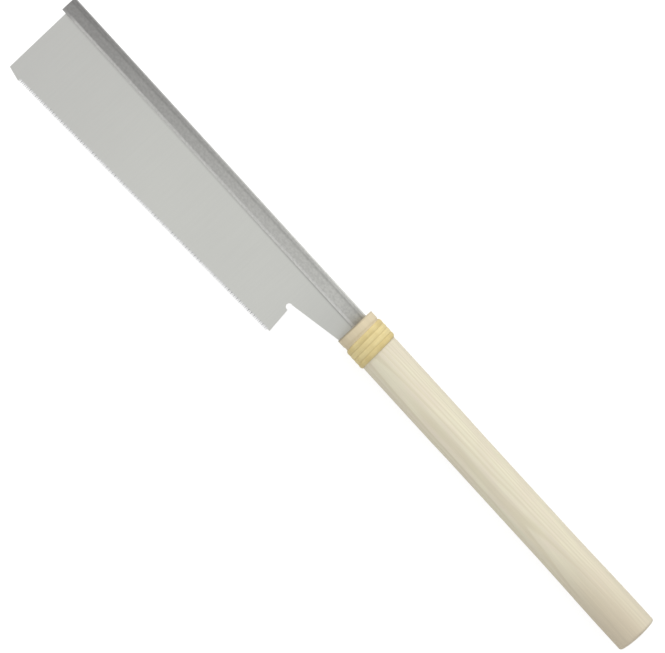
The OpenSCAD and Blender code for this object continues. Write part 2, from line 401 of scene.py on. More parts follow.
class FinishSheet:
    """The node sheet of one finish, which ends in a principled shader."""

    def __init__(self, name: str) -> None:
        """Starts a sheet with its shader and the coordinates of the piece.

        Args:
            name: Name of the material.
        """
        self.material = bpy.data.materials.new(name)
        self.material.use_nodes = True
        self.tree = self.material.node_tree
        self.shader = self.tree.nodes["Principled BSDF"]
        self.coordinates = self.add("ShaderNodeTexCoord")
        self.place = self.coordinates.outputs["Object"]

    def add(self, kind: str, **fields: object) -> bpy.types.Node:
        """Adds a node.

        Args:
            kind: The node's type.
            fields: Values of its fields.

        Returns:
            The node.
        """
        node = self.tree.nodes.new(kind)
        for field, value in fields.items():
            setattr(node, field, value)
        return node

    def feed(self, target: Socket, value: Value | Triple) -> None:
        """Links an input to another node's output, or sets its value.

        Args:
            target: The input.
            value: An output, a colour, a vector or a number.
        """
        if isinstance(value, Socket):
            self.tree.links.new(value, target)
        elif target.type == "RGBA" and isinstance(value, tuple):
            target.default_value = (*value, 1.0)
        else:
            target.default_value = value

    def coat(self, values: dict[str, Value | Triple]) -> None:
        """Feeds the shader's inputs by their names."""
        for name, value in values.items():
            self.feed(self.shader.inputs[name], value)

    def axes(self, source: Socket) -> tuple[Socket, ...]:
        """Takes coordinates apart.

        Args:
            source: The coordinates.

        Returns:
            Their X, Y and Z.
        """
        node = self.add("ShaderNodeSeparateXYZ")
        self.feed(node.inputs["Vector"], source)
        return tuple(node.outputs[axis] for axis in "XYZ")

    def mark(self, attribute: str) -> Socket:
        """Reads one of the piece's own attributes."""
        return self.add("ShaderNodeAttribute", attribute_name=attribute).outputs["Fac"]

    def stretch(
        self, source: Socket, scale: Triple, turn: Triple = NO_SHIFT, move: Triple = NO_SHIFT
    ) -> Socket:
        """Stretches, turns and moves coordinates.

        Args:
            source: The coordinates.
            scale: Factors along X, Y and Z.
            turn: Angles about X, Y and Z.
            move: Shift after the turn.

        Returns:
            The new coordinates.
        """
        node = self.add("ShaderNodeMapping")
        self.feed(node.inputs["Vector"], source)
        self.feed(node.inputs["Scale"], scale)
        self.feed(node.inputs["Rotation"], turn)
        self.feed(node.inputs["Location"], move)
        return node.outputs["Vector"]

    def noise(self, source: Socket, pattern: Pattern) -> Socket:
        """Adds a cloudy pattern.

        Args:
            source: Its coordinates.
            pattern: The pattern.

        Returns:
            A value about one half.
        """
        node = self.add("ShaderNodeTexNoise")
        self.feed(node.inputs["Vector"], self.stretch(source, pattern.stretch))
        self.feed(node.inputs["Scale"], 1 / pattern.size)
        self.feed(node.inputs["Detail"], pattern.detail.value)
        return node.outputs["Fac"]

    def ranged(self, value: Socket, start: float, end: float, first: Value, last: Value) -> Socket:
        """Maps a value's range smoothly on another range and holds it there beyond the ends.

        Args:
            value: The value.
            start: The value at which the result is first.
            end: The value at which the result is last.
            first: The result at the start.
            last: The result at the end.

        Returns:
            The result.
        """
        node = self.add("ShaderNodeMapRange", interpolation_type="SMOOTHSTEP")
        for number, entry in enumerate((value, start, end, first, last)):
            self.feed(node.inputs[number], entry)
        return node.outputs["Result"]

    def spread(self, pattern: Socket, first: Value, last: Value) -> Socket:
        """Spreads a cloudy pattern over a range."""
        return self.ranged(pattern, *PATTERN_SPAN, first, last)

    def calculate(self, operation: str, one: Socket, other: Value = 0.0) -> Socket:
        """Combines two values, or changes one.

        Args:
            operation: Name of the operation.
            one: The first value.
            other: The second value, where the operation takes two.

        Returns:
            The result.
        """
        node = self.add("ShaderNodeMath", operation=operation)
        self.feed(node.inputs[0], one)
        self.feed(node.inputs[1], other)
        return node.outputs["Value"]

    def away_from(self, value: Socket, middle: float) -> Socket:
        """How far a value lies from a middle, to either side."""
        return self.calculate("ABSOLUTE", self.calculate("SUBTRACT", value, middle))

    def blend(self, share: Value, one: Tone, other: Tone, mode: str = "MIX") -> Socket:
        """Blends two colours.

        Args:
            share: How much of the second colour is taken.
            one: The first colour.
            other: The second colour.
            mode: The way of blending.

        Returns:
            The blended colour.
        """
        node = self.add("ShaderNodeMix", data_type="RGBA", blend_type=mode)
        inputs = {entry.identifier: entry for entry in node.inputs}
        self.feed(inputs["Factor_Float"], share)
        self.feed(inputs["A_Color"], one)
        self.feed(inputs["B_Color"], other)
        return next(entry for entry in node.outputs if entry.type == "RGBA")

    def shaded(self, colour: Tone, shade: Socket) -> Socket:
        """A colour made darker or lighter by a factor."""
        return self.blend(1.0, colour, shade, "MULTIPLY")

    def raise_surface(self, height: Socket, depth: float) -> None:
        """Roughens the surface.

        Args:
            height: A pattern from 0 to 1.
            depth: The height of 1.
        """
        node = self.add("ShaderNodeBump")
        self.feed(node.inputs["Distance"], depth)
        self.feed(node.inputs["Height"], height)
        self.feed(self.shader.inputs["Normal"], node.outputs["Normal"])


@dataclass(frozen=True)
class GroundSteel:
    """Bare steel with fine grinding lines and faint clouds, toned along X from the handle to the toe; on the
    plate and the spine this tone is painted reflection, darker towards the toe.

    Just in front of the handle's mouth it is darkened by painted shade.
    """

    CLOUD_STRETCH: ClassVar[Triple] = (0.8, 1.0, 1.0)

    name: str
    handle_colour: Colour
    toe_colour: Colour
    tone_start: float
    tone_end: float
    brushing: Brushing
    line_size: float
    line_contrast: float
    cloud_size: float
    cloud_contrast: float
    smoothest: float
    roughest: float
    line_depth: float
    mouth_shade: float
    mouth_reach: float

    def toned(self, sheet: FinishSheet, x: Socket, at_handle: Colour, at_toe: Colour) -> Socket:
        """A colour that goes from one tone at the handle to another at the toe."""
        return sheet.blend(sheet.ranged(x, self.tone_start, self.tone_end, 0.0, 1.0), at_handle, at_toe)

    def colour(self, sheet: FinishSheet, x: Socket, y: Socket) -> Socket:
        """Lays the steel's colour, before its lines and clouds.

        Args:
            sheet: The sheet to lay it on.
            x: The place along the saw.
            y: The place across the saw, which plain steel takes no notice of.

        Returns:
            The colour.
        """
        # On the plate and the spine this tone is painted reflection, darker towards the toe
        toned = self.toned(sheet, x, self.handle_colour, self.toe_colour)
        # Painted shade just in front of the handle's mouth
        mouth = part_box("handle_left_half")[1].x
        return sheet.shaded(toned, sheet.ranged(x, mouth, mouth + self.mouth_reach, self.mouth_shade, 1.0))

    def material(self) -> Material:
        """Makes the material.

        Returns:
            The material.
        """
        sheet = FinishSheet(self.name)
        x, y, _ = sheet.axes(sheet.place)
        colour = self.colour(sheet, x, y)
        lines = sheet.noise(sheet.place, Pattern(self.line_size, self.brushing.value, Detail.FINE))
        clouds = sheet.noise(sheet.place, Pattern(self.cloud_size, self.CLOUD_STRETCH, Detail.PLAIN))
        line_shade = sheet.spread(lines, 1 - self.line_contrast, 1 + self.line_contrast)
        cloud_shade = sheet.spread(clouds, 1 - self.cloud_contrast, 1 + self.cloud_contrast)
        sheet.coat(
            {
                "Base Color": sheet.shaded(colour, sheet.calculate("MULTIPLY", line_shade, cloud_shade)),
                "Roughness": sheet.spread(clouds, self.smoothest, self.roughest),
                "Metallic": 1.0,
            }
        )
        sheet.raise_surface(lines, self.line_depth)
        return sheet.material


@dataclass(frozen=True)
class ToothedSteel(GroundSteel):
    """The plate's steel, with a painted shadow just below the spine's lips and a painted glint on the bent
    sides of the teeth.

    The filed faces of the teeth carry painted reflection, going from painted shade to painted glint in patches
    along the row.
    """

    GLINT_PATCH_SPAN: ClassVar[Pair] = (0.38, 0.62)

    bent_glint_colour: Colour
    filed_shade_colour: Colour
    filed_glint_colour: Colour
    filed_glint_patch: float
    spine_shadow_place: float
    spine_shadow_width: float
    spine_shadow_at_handle: float
    spine_shadow_at_toe: float
    spine_shadow_fade_start: float
    spine_shadow_fade_end: float

    def colour(self, sheet: FinishSheet, x: Socket, y: Socket) -> Socket:
        """Lays the plate's colour.

        Args:
            sheet: The sheet to lay it on.
            x: The place along the saw.
            y: The place across the saw.

        Returns:
            The colour.
        """
        plain = super().colour(sheet, x, y)
        # Painted shadow of the spine on the plate just below its lips, deeper near the handle
        shades = (self.spine_shadow_at_handle, self.spine_shadow_at_toe)
        spine_shadow_strength = sheet.ranged(x, self.spine_shadow_fade_start, self.spine_shadow_fade_end, *shades)
        spine_shadow_end = self.spine_shadow_place + self.spine_shadow_width
        spine_shadowed = sheet.shaded(plain, sheet.ranged(y, self.spine_shadow_place, spine_shadow_end, spine_shadow_strength, 1.0))
        # Painted reflection on the filed faces: painted shade and painted glint in patches along the row
        glint_patches = sheet.noise(sheet.place, Pattern(self.filed_glint_patch, UNSTRETCHED, Detail.SOFT))
        glint_share = sheet.ranged(glint_patches, *self.GLINT_PATCH_SPAN, 0.0, 1.0)
        filed = sheet.blend(glint_share, self.filed_shade_colour, self.filed_glint_colour)
        # Painted glint on the bent sides of the teeth
        unfiled = sheet.blend(sheet.mark(BENT_FACES), spine_shadowed, self.bent_glint_colour)
        return sheet.blend(sheet.mark(FILED_FACES), unfiled, filed)


@dataclass(frozen=True)
class FoldedSteel(GroundSteel):
    """The spine's steel: painted reflection on the fold, bright near the handle and dark at the toe, painted
    shade in the crease beside it and a paler bevel of painted reflection.

    The bevel's fade counts back from the spine's end at the toe.
    """

    fold_place: float
    fold_blur: float
    fold_reflection_at_handle: float
    fold_reflection_at_toe: float
    crease_place: float
    crease_width: float
    crease_shade: float
    bevel_place: float
    bevel_blur: float
    bevel_reflection_handle_colour: Colour
    bevel_reflection_toe_colour: Colour
    bevel_fade_start: float
    bevel_fade_end: float

    def colour(self, sheet: FinishSheet, x: Socket, y: Socket) -> Socket:
        """Lays the spine's colour.

        Args:
            sheet: The sheet to lay it on.
            x: The place along the saw.
            y: The place across the saw.

        Returns:
            The colour.
        """
        plain = super().colour(sheet, x, y)
        # Painted shade in the crease beside the fold
        off_crease = sheet.away_from(y, self.crease_place)
        flat = sheet.shaded(plain, sheet.ranged(off_crease, 0.0, self.crease_width, self.crease_shade, 1.0))
        # Painted reflection on the fold: brighter near the handle, darker at the toe
        shades = (self.fold_reflection_at_handle, self.fold_reflection_at_toe)
        fold = sheet.shaded(flat, sheet.ranged(x, self.tone_start, self.tone_end, *shades))
        on_fold = sheet.ranged(y, self.fold_place - self.fold_blur, self.fold_place, 1.0, 0.0)
        # Painted reflection on the bevel, paler than the flat, fading out near the toe
        bevel = self.toned(sheet, x, self.bevel_reflection_handle_colour, self.bevel_reflection_toe_colour)
        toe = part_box("spine")[1].x
        fade = sheet.ranged(x, toe - self.bevel_fade_start, toe - self.bevel_fade_end, 1.0, 0.0)
        on_bevel = sheet.ranged(y, self.bevel_place, self.bevel_place + self.bevel_blur, 0.0, fade)
        return sheet.blend(on_bevel, sheet.blend(on_fold, flat, fold), bevel)


@dataclass(frozen=True)
class Softwood:
    """Bare sanded softwood: faint growth rings, fibres along the handle, a tanned mouth and painted shade
    towards the butt, lighter on the spine's side.

    The late wood's start, fullness and stop are shares of a ring. The tan's start and end count back from the
    mouth, and the depths of the mouth's painted shadow line and of the butt's end grain from the end faces.
    The painted shadow at the mouth is lighter on the spine's side.
    """

    CROSSWISE: ClassVar[Triple] = (0.0, 1.0, 1.0)

    name: str = "pale_softwood"
    early_colour: Colour = (0.83, 0.785, 0.61)
    late_colour: Colour = (0.745, 0.685, 0.51)
    rosy_colour: Colour = (0.82, 0.75, 0.605)
    # Painted shade towards the butt
    butt_shade_colour: Colour = (0.67, 0.59, 0.45)
    tan_colour: Colour = (0.75, 0.64, 0.44)
    # Painted shadow along the mouth's end grain
    mouth_shadow_colour: Colour = (0.34, 0.29, 0.20)
    butt_end_colour: Colour = (0.60, 0.54, 0.43)
    pith_place: Triple = (0.0, 0.026, 0.062)
    pith_turn: Triple = (0.0, math.radians(0.5), math.radians(-0.4))
    ring_width: float = 0.0015
    ring_waver: float = 0.002
    wavers: Pattern = Pattern(0.011, (0.12, 1.0, 1.0), Detail.SOFT)
    late_start: float = 0.25
    late_full: float = 0.88
    late_stop: float = 0.9
    late_share: float = 0.75
    clouds: Pattern = Pattern(0.0075, (0.3, 1.0, 1.0), Detail.PLAIN)
    cloud_span: Pair = (0.35, 0.65)
    streaks: Pattern = Pattern(0.0032, (0.035, 1.0, 1.0), Detail.PLAIN)
    streak_shades: Pair = (0.965, 1.03)
    fibres: Pattern = Pattern(0.0006, (0.02, 1.0, 1.0), Detail.PLAIN)
    fibre_shades: Pair = (0.97, 1.025)
    fibre_depth: float = 0.00002
    roughness: Pair = (0.56, 0.68)
    specular: float = 0.3
    butt_run: float = 0.10
    butt_shade_lit_share: float = 0.4
    butt_shade_lit_edge: float = -0.013
    butt_depth: float = 0.0008
    tan_start: float = 0.0125
    tan_end: float = 0.009
    tan_share: float = 0.9
    mouth_shadow_lit_share: float = 0.4
    mouth_shadow_lit_edge: float = -0.011
    mouth_depth: float = 0.0015

    def rings(self, sheet: FinishSheet) -> Socket:
        """Draws the growth rings.

        Args:
            sheet: The sheet to draw on.

        Returns:
            How much late wood there is at a point, from 0 to 1.
        """
        turned = sheet.stretch(sheet.place, UNSTRETCHED, self.pith_turn, self.pith_place)
        distance = sheet.add("ShaderNodeVectorMath", operation="LENGTH")
        sheet.feed(distance.inputs[0], sheet.stretch(turned, self.CROSSWISE))
        waver = sheet.calculate("MULTIPLY", sheet.noise(sheet.place, self.wavers), self.ring_waver)
        wavered = sheet.calculate("ADD", distance.outputs["Value"], waver)
        phase = sheet.calculate("FRACT", sheet.calculate("DIVIDE", wavered, self.ring_width))
        growth = sheet.ranged(phase, self.late_start, self.late_full, 0.0, 1.0)
        stop = sheet.ranged(phase, self.late_stop, 1.0, 1.0, 0.0)
        return sheet.calculate("MULTIPLY", growth, stop)

    def material(self) -> Material:
        """Makes the material.

        Returns:
            The material.
        """
        sheet = FinishSheet(self.name)
        x, y, _ = sheet.axes(sheet.place)
        low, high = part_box("handle_left_half")
        fibres = sheet.noise(sheet.place, self.fibres)
        streaks = sheet.noise(sheet.place, self.streaks)
        rosiness = sheet.ranged(sheet.noise(sheet.place, self.clouds), *self.cloud_span, 0.0, 1.0)
        early = sheet.blend(rosiness, self.early_colour, self.rosy_colour)
        late = sheet.calculate("MULTIPLY", self.rings(sheet), self.late_share)
        grown = sheet.blend(late, early, self.late_colour)

        # Painted shade towards the butt, lighter on the spine's side
        near_butt = sheet.ranged(x, low.x, low.x + self.butt_run, 1.0, 0.0)
        butt_shade_by_side = sheet.ranged(y, self.butt_shade_lit_edge, 0.0, self.butt_shade_lit_share, 1.0)
        butt_shaded = sheet.blend(sheet.calculate("MULTIPLY", near_butt, butt_shade_by_side), grown, self.butt_shade_colour)
        tan = sheet.ranged(x, high.x - self.tan_start, high.x - self.tan_end, 0.0, self.tan_share)
        tanned = sheet.blend(tan, butt_shaded, self.tan_colour)
        # Painted shadow along the mouth's end grain, where the blade enters, lighter on the spine's side
        mouth_shadow_by_side = sheet.ranged(y, self.mouth_shadow_lit_edge, 0.0, self.mouth_shadow_lit_share, 1.0)
        mouth_shadow = sheet.ranged(x, high.x - self.mouth_depth, high.x, 0.0, mouth_shadow_by_side)
        at_butt = sheet.ranged(x, low.x, low.x + self.butt_depth, 1.0, 0.0)
        mouth_shadowed = sheet.blend(mouth_shadow, tanned, self.mouth_shadow_colour)
        ended = sheet.blend(at_butt, mouth_shadowed, self.butt_end_colour)

        streak_shade = sheet.spread(streaks, *self.streak_shades)
        fibre_shade = sheet.spread(fibres, *self.fibre_shades)
        sheet.coat(
            {
                "Base Color": sheet.shaded(ended, sheet.calculate("MULTIPLY", streak_shade, fibre_shade)),
                "Roughness": sheet.spread(streaks, *self.roughness),
                "Specular IOR Level": self.specular,
            }
        )
        sheet.raise_surface(fibres, self.fibre_depth)
        return sheet.material


@dataclass(frozen=True)
class CaneSkin:
    """The smooth skin of split rattan, with fibres, slow changes of colour along the strip and painted shade
    at the strip's edges, in the grooves between turns.

    It lies on a UV map that runs across the strip and along it, in widths of the strip.
    """

    MIDDLE: ClassVar[float] = 0.5

    name: str = "cane_skin"
    pale_colour: Colour = (0.815, 0.68, 0.335)
    deep_colour: Colour = (0.70, 0.56, 0.245)
    # Painted shade in the grooves between turns
    groove_shade_colour: Colour = (0.56, 0.44, 0.19)
    deep_end: float = 22.0
    pale_start: float = 40.0
    pale_end: float = 50.0
    front_end: float = 100.0
    rear_share: float = 0.8
    front_share: float = 0.75
    mottles: Pattern = Pattern(2.2, (0.6, 1.0, 1.0), Detail.SOFT)
    mottle_share: float = 0.4
    groove_shade_start: float = 0.36
    groove_shade_share: float = 0.55
    fibres: Pattern = Pattern(0.11, (1.0, 0.03, 1.0), Detail.PLAIN)
    fibre_shades: Pair = (0.94, 1.05)
    fibre_depth: float = 0.00002
    roughness: Pair = (0.48, 0.60)

    def material(self) -> Material:
        """Makes the material.

        Returns:
            The material.
        """
        sheet = FinishSheet(self.name)
        strip = sheet.coordinates.outputs["UV"]
        across, along, _ = sheet.axes(strip)
        fibres = sheet.noise(strip, self.fibres)
        rear = sheet.ranged(along, self.deep_end, self.pale_start, self.rear_share, 0.0)
        front = sheet.ranged(along, self.pale_end, self.front_end, 0.0, self.front_share)
        spots = sheet.spread(sheet.noise(strip, self.mottles), -self.mottle_share, self.mottle_share)
        deep = sheet.calculate("ADD", sheet.calculate("ADD", rear, front), spots)
        tone = sheet.blend(deep, self.pale_colour, self.deep_colour)
        # Painted shade at the strip's edges, in the grooves between turns
        off_middle = sheet.away_from(across, self.MIDDLE)
        edge = sheet.ranged(off_middle, self.groove_shade_start, self.MIDDLE, 0.0, self.groove_shade_share)
        groove_shaded = sheet.blend(edge, tone, self.groove_shade_colour)
        sheet.coat(
            {
                "Base Color": sheet.shaded(groove_shaded, sheet.spread(fibres, *self.fibre_shades)),
                "Roughness": sheet.spread(fibres, *self.roughness),
            }
        )
        sheet.raise_surface(fibres, self.fibre_depth)
        return sheet.material


@dataclass(frozen=True)
class PaleFloor:
    """A pale studio floor that reads white and keeps the shadow."""

    name: str = "pale_floor"
    colour: Colour = (0.40, 0.40, 0.40)
    lift: float = 0.78

    def material(self) -> Material:
        """Makes the material: a matt floor, lifted to white where the camera, metal or glass looks at it.

        Returns:
            The material.
        """
        sheet = FinishSheet(self.name)
        sheet.coat({"Base Color": self.colour, "Roughness": 1.0, "Specular IOR Level": 0.0})
        rays = sheet.add("ShaderNodeLightPath").outputs
        straight = sheet.calculate("MAXIMUM", rays["Is Camera Ray"], rays["Is Glossy Ray"])
        seen = sheet.calculate("MAXIMUM", straight, rays["Is Transmission Ray"])
        glow = sheet.add("ShaderNodeEmission")
        sheet.feed(glow.inputs["Strength"], sheet.calculate("MULTIPLY", seen, self.lift))
        both = sheet.add("ShaderNodeAddShader")
        sheet.feed(both.inputs[0], sheet.shader.outputs["BSDF"])
        sheet.feed(both.inputs[1], glow.outputs["Emission"])
        sheet.feed(sheet.tree.nodes["Material Output"].inputs["Surface"], both.outputs["Shader"])
        return sheet.material


PLATE_FINISH = ToothedSteel(
    name="ground_plate_steel",
    # Painted reflection: the plate's tone falls from the handle to the toe
    handle_colour=(0.806, 0.813, 0.772),
    toe_colour=(0.747, 0.748, 0.719),
    tone_start=0.40,
    tone_end=0.56,
    brushing=Brushing.ACROSS,
    line_size=0.0012,
    line_contrast=0.008,
    cloud_size=0.05,
    cloud_contrast=0.012,
    smoothest=0.40,
    roughest=0.46,
    line_depth=0.000002,
    # Painted shade in front of the handle's mouth
    mouth_shade=0.93,
    mouth_reach=0.05,
    # Painted glint on the bent sides of the teeth
    bent_glint_colour=(0.84, 0.84, 0.83),
    # Painted reflection on the filed faces, from painted shade to painted glint
    filed_shade_colour=(0.545, 0.545, 0.55),
    filed_glint_colour=(0.775, 0.775, 0.78),
    filed_glint_patch=0.006,
    # Painted shadow of the spine just below its lips
    spine_shadow_place=0.0013,
    spine_shadow_width=0.0017,
    spine_shadow_at_handle=0.70,
    spine_shadow_at_toe=0.88,
    spine_shadow_fade_start=0.30,
    spine_shadow_fade_end=0.45,
)
SPINE_FINISH = FoldedSteel(
    name="brushed_spine_steel",
    # Painted reflection: the spine's tone falls from the handle to the toe
    handle_colour=(0.725, 0.727, 0.692),
    toe_colour=(0.348, 0.342, 0.336),
    tone_start=0.22,
    tone_end=0.62,
    brushing=Brushing.ALONG,
    line_size=0.0009,
    line_contrast=0.02,
    cloud_size=0.0015,
    cloud_contrast=0.08,
    smoothest=0.36,
    roughest=0.44,
    line_depth=0.000006,
    # Painted shade in front of the handle's mouth
    mouth_shade=0.88,
    mouth_reach=0.022,
    fold_place=-0.0074,
    fold_blur=0.0012,
    # Painted reflection on the fold, from the handle to the toe
    fold_reflection_at_handle=1.06,
    fold_reflection_at_toe=0.82,
    # Painted shade in the crease beside the fold
    crease_place=-0.0070,
    crease_width=0.0013,
    crease_shade=0.81,
    bevel_place=-0.0007,
    bevel_blur=0.0006,
    # Painted reflection on the bevel
    bevel_reflection_handle_colour=(0.71, 0.71, 0.685),
    bevel_reflection_toe_colour=(0.56, 0.555, 0.54),
    bevel_fade_start=0.014,
    bevel_fade_end=0.003,
)
SOCKET_FINISH = GroundSteel(
    name="rolled_socket_steel",
    handle_colour=(0.46, 0.46, 0.455),
    toe_colour=(0.50, 0.50, 0.49),
    tone_start=0.22,
    tone_end=0.27,
    brushing=Brushing.ALONG,
    line_size=0.0012,
    line_contrast=0.06,
    cloud_size=0.006,
    cloud_contrast=0.08,
    smoothest=0.38,
    roughest=0.55,
    line_depth=0.000008,
    mouth_shade=1.0,
    mouth_reach=0.01,
)


# The sub-assemblies


def hand_over(piece: Piece, body: Body, material: Material, node: str) -> None:
    """Gives a finished piece its material, its body and the node that it stands for.

    Args:
        piece: The piece.
        body: The body that it rides on.
        material: Its finish.
        node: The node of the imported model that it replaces.
    """
    piece.data.materials.clear()
    piece.data.materials.append(material)
    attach(piece, body.value)
    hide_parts(node)
    LOG.info("%s stands for %s: %d faces", piece.name, node, len(piece.data.polygons))


@dataclass
class SawPlate:
    """The thin plate: its outline, its row of teeth, the relief at the heel and the tang inside the handle.

    Setbacks along the saw count from the mouth of the handle, and depths from the handle's axis. The last
    three limits are of the Z of a face's normal: a face up to the first one stands upright, one up to the
    second is filed, and one up to the third is bent.
    """

    edge_length: float = 0.240
    heel_setback: float = 0.0345
    heel_depth: float = 0.0442
    tooth_line_slope: float = math.radians(2.35)
    heel_lean: float = math.radians(6.9)
    relief_radius: float = 0.0022
    relief_bite: float = 0.0002
    relief_inset: float = 0.0006
    relief_steps: int = 64
    toe_plain: float = 0.0105
    toe_relief: float = 0.0027
    heel_plain: float = 0.0015
    heel_relief: float = 0.0014
    tooth_pitch: float = 0.0013
    tooth_height: float = 0.0023
    tooth_face: float = math.radians(76)
    top_facet: float = 0.00025
    top_slope: float = math.radians(40)
    tooth_set: float = 0.00008
    tooth_bevel: float = 0.0021
    tooth_strip: float = 0.0035
    tooth_tolerance: float = 0.05
    tang_depth: float = 0.0137
    tang_slope: float = math.radians(10.6)
    tang_rounding: float = 0.002
    tang_rounding_steps: int = 6
    upright_limit: float = 0.05
    filed_limit: float = 0.995
    bent_limit: float = 0.9999

    def __post_init__(self) -> None:
        """Takes the plate's ends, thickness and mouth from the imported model, and lays out the teeth."""
        self.low, self.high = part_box("blade_plate")
        self.thickness = self.high.z - self.low.z
        self.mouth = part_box("handle_left_half")[1].x
        self.face_run = self.tooth_height / math.tan(self.tooth_face)
        toothed = self.edge_length - self.toe_plain - self.heel_plain
        self.tooth_count = int(toothed / self.tooth_pitch)
        self.to_toe = Vector((math.cos(self.tooth_line_slope), math.sin(self.tooth_line_slope), 0))
        self.to_spine = Vector((self.to_toe.y, -self.to_toe.x, 0))
        self.heel = Vector((self.mouth + self.heel_setback, self.heel_depth, 0))
        self.row_start = self.heel + self.to_toe * (self.edge_length - self.toe_plain)
        self.tip = (self.tooth_pitch - self.face_run, 0.0)
        self.knee = (self.tip[0] - self.top_facet / math.tan(self.top_slope), self.top_facet)

    def tooth_point(self, along: float, rise: float) -> Vector:
        """A point counted from the first gullet towards the heel, and from the tips up into the plate."""
        return self.row_start - self.to_toe * along + self.to_spine * rise

    def tang_edge(self, setback: float) -> float:
        """Y of the tang's lower edge at a distance from the mouth."""
        return self.tang_depth + setback * math.tan(self.tang_slope)

    def tang_corner(self) -> Vector:
        """Finds the corner where the heel's edge would meet the tang's lower edge.

        Returns:
            The corner.
        """
        lean = math.tan(self.heel_lean)
        run = self.heel_setback + (self.heel_depth - self.tang_depth) * lean
        setback = run / (1 + math.tan(self.tang_slope) * lean)
        return Vector((self.mouth + setback, self.tang_edge(setback), 0))

    def outline(self) -> list[Vector]:
        """The plate's outline from the first gullet round the toe, the tang and the heel to the last gullet.

        Returns:
            The corners in order.
        """
        row_length = self.tooth_count * self.tooth_pitch
        toe_corner = self.heel + self.to_toe * self.edge_length - Vector((0, self.toe_relief, 0))
        return [
            self.tooth_point(0, self.tooth_height),
            self.tooth_point(0, 0),
            toe_corner,
            Vector((self.high.x, self.low.y, 0)),
            Vector((self.low.x, self.low.y, 0)),
            Vector((self.low.x, self.tang_edge(self.low.x - self.mouth), 0)),
            self.tang_corner(),
            self.heel + Vector((self.heel_relief * math.tan(self.heel_lean), -self.heel_relief, 0)),
            self.tooth_point(row_length, self.heel_relief),
            self.tooth_point(row_length, self.tooth_height),
        ]

    def tooth_number(self, place: Vector, corner: Pair) -> int | None:
        """Number of the tooth that has one of its corners at a place.

        Args:
            place: A vertex of the plate.
            corner: Where the first tooth has that corner, as tooth_point takes it.

        Returns:
            The number, counted from the toe, or None where no tooth has that corner.
        """
        away = place - self.tooth_point(*corner)
        if abs(away.dot(self.to_spine)) > NEAR:
            return None
        number = -away.dot(self.to_toe) / self.tooth_pitch
        nearest = round(number)
        inside = 0 <= nearest < self.tooth_count and abs(number - nearest) < self.tooth_tolerance
        return nearest if inside else None

    def every_second(self, corner: Pair, parity: int, side: int) -> Test:
        """Makes a test for one corner of every second tooth, on one side of the plate.

        Args:
            corner: Where the first tooth has that corner, as tooth_point takes it.
            parity: 0 for the first tooth, the third and so on, and 1 for the others.
            side: Sign of the side's Z.

        Returns:
            The test.
        """

        def test(co: Vector) -> bool:
            """Picks a corner by its tooth's number and its side."""
            number = self.tooth_number(co, corner)
            return number is not None and number % 2 == parity and co.z * side > 0

        return test

    def cut_tooth_strip(self) -> Piece:
        """Models one tooth and repeats it along the tooth line.

        Returns:
            The strip of teeth as a flat sheet.
        """
        left_root = self.tooth_point(0, self.tooth_strip)
        right_root = self.tooth_point(self.tooth_pitch, self.tooth_strip)
        right_gullet = self.tooth_point(self.tooth_pitch, self.tooth_height)
        left_gullet = self.tooth_point(0, self.tooth_height)
        strip = add_quad("saw_plate", [left_root, right_root, right_gullet, left_gullet])
        with editing(strip):
            choose(strip, lambda co: near(left_gullet)(co) or near(right_gullet)(co))
            extrude(self.to_spine * -self.tooth_height)
            for along, corner in ((0.0, self.knee), (self.tooth_pitch, self.tip)):
                start = self.tooth_point(along, 0)
                choose(strip, near(start))
                shift(self.tooth_point(*corner) - start)
        apply(
            strip,
            "ARRAY",
            count=self.tooth_count,
            use_relative_offset=False,
            use_constant_offset=True,
            constant_offset_displace=-self.to_toe * self.tooth_pitch,
            use_merge_vertices=True,
            merge_threshold=SHEET_TOUCH,
        )
        return strip

    def fill_plate(self, plate: Piece) -> None:
        """Draws the outline from one end of the teeth to the other and fills the sheet between.

        Args:
            plate: The strip of teeth.
        """
        corners = self.outline()

        def around_sheet(edge: Edge) -> bool:
            """Picks the drawn outline and the edges of the strip behind the teeth."""
            rises = [(vert.co - self.row_start).dot(self.to_spine) for vert in edge.verts]
            return edge.is_wire or (edge.is_boundary and min(rises) > self.tooth_height - NEAR)

        with editing(plate):
            choose(plate, near(corners[0]))
            trace(corners)
            merge_all(SHEET_TOUCH)
            choose_edges(plate, around_sheet)
            bpy.ops.mesh.edge_face_add()
            choose(plate, lambda co: co.x < self.low.x + TOUCH)
            bpy.ops.mesh.bevel(
                offset=self.tang_rounding, segments=self.tang_rounding_steps, affect="VERTICES"
            )

    def set_teeth(self, plate: Piece) -> None:
        """Bends the teeth to either side in turn and files each one's three facets from its inner side.

        Args:
            plate: The plate at its full thickness.
        """
        filed = self.tooth_point(self.tip[0] - self.face_run, self.tooth_bevel)
        with editing(plate):
            for parity, side in ((0, 1), (1, -1)):
                for corner in (self.tip, self.knee):
                    bend = self.tooth_set * (1 - corner[1] / self.tooth_height)
                    choose(plate, self.every_second(corner, parity, side))
                    shift(Vector((0, 0, side * bend)))
                    choose(plate, self.every_second(corner, parity, -side))
                    shift(filed - self.tooth_point(*corner))
            merge_all(TOUCH)

    def build(self) -> Piece:
        """Models the plate.

        Returns:
            The finished mesh.
        """
        plate = self.cut_tooth_strip()
        self.fill_plate(plate)
        apply(plate, "SOLIDIFY", thickness=self.thickness, offset=0.0)
        self.set_teeth(plate)
        to_teeth = Vector((-math.sin(self.heel_lean), math.cos(self.heel_lean), 0))
        inwards = Vector((to_teeth.y, -to_teeth.x, 0))
        centre = self.tang_corner() + to_teeth * (self.relief_radius - self.relief_bite)
        centre += inwards * self.relief_inset
        deselect_everything()
        bpy.ops.mesh.primitive_cylinder_add(
            vertices=self.relief_steps, radius=self.relief_radius, depth=PAST, location=centre
        )
        cut(plate, settle("relief_tool"))
        close_up(plate)
        return plate

